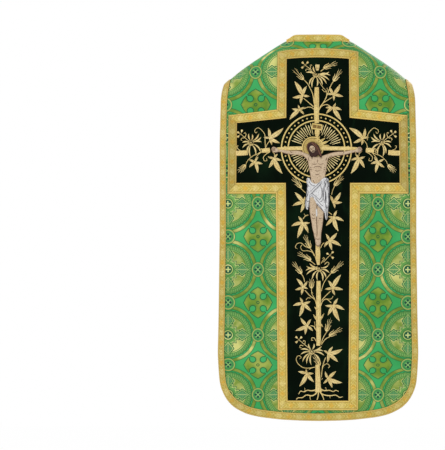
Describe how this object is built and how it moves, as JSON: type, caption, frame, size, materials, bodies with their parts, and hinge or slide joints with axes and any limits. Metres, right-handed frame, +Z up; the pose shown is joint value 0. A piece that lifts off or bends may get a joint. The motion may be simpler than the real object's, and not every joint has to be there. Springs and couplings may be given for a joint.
{
  "type": "chasuble",
  "caption": "Roman fiddleback chasuble in brocade with velvet orphreys, gold galloon borders and vine embroidery; front and back fold at the chest seam and across the upper back.",
  "frame": {"origin": "middle of the neck opening, level with the shoulder ridge beside the neck, where a hanger or the wearer carries the vestment", "axes": "+Z up; -Y is the front of the vestment, +Y is its back with the cross; +X is the wearer's left"},
  "size_m": [0.61, 0.1339, 1.1783],
  "materials": {
    "brocade": "woven silk brocade, green ground with olive and pale gold figures",
    "interlining": "stiff plain-woven linen canvas",
    "lining": "dark green satin",
    "galloon": "woven metallic gold braid",
    "velvet": "near-black green cotton velvet",
    "gold_embroidery": "padded gold thread satin stitch",
    "flesh_silk": "silk satin stitch",
    "hair_silk": "brown silk stitching with a silk satin face",
    "linen_silk": "white silk satin stitch"
  },
  "bodies": {
    "shoulders": {"brocade_shoulders": "brocade", "interlining_shoulders": "interlining", "lining_shoulders": "lining", "neck_galloon_back": "galloon", "neck_galloon_sides": "galloon", "chest_galloon": "galloon", "edge_galloon_shoulders": "galloon", "velvet_cross_head": "velvet", "cross_frame_head": "galloon", "flower_head": "gold_embroidery", "leaves_head": "gold_embroidery", "buds_head": "gold_embroidery", "crosslet_head": "gold_embroidery", "stem_head": "gold_embroidery"},
    "back_panel": {"brocade_back": "brocade", "interlining_back": "interlining", "lining_back": "lining", "edge_galloon_back": "galloon", "velvet_cross": "velvet", "cross_frame": "galloon", "figure_body": "flesh_silk", "figure_head": "hair_silk", "loincloth": "linen_silk", "nimbus": "gold_embroidery", "title_plaque": "gold_embroidery", "halo_rings": "gold_embroidery", "halo_beads": "gold_embroidery", "halo_rays": "gold_embroidery", "flowers_back": "gold_embroidery", "leaves_back": "gold_embroidery", "buds_back": "gold_embroidery", "crosslets_back": "gold_embroidery", "stem_back": "gold_embroidery"},
    "front_panel": {"brocade_front": "brocade", "interlining_front": "interlining", "lining_front": "lining", "edge_galloon_front": "galloon", "column_galloons": "galloon", "velvet_column": "velvet", "flowers_front": "gold_embroidery", "leaves_front": "gold_embroidery", "buds_front": "gold_embroidery", "crosslets_front": "gold_embroidery", "stem_front": "gold_embroidery"}
  },
  "joints": [
    {"name": "front_lift", "type": "hinge", "parent": "shoulders", "child": "front_panel", "pos_m": [0, -0.065, -0.2397], "axis": [-1, 0, 0], "range_deg": [0, 110]},
    {"name": "back_lift", "type": "hinge", "parent": "shoulders", "child": "back_panel", "pos_m": [0, 0.065, -0.199], "axis": [1, 0, 0], "range_deg": [0, 60]}
  ]
}
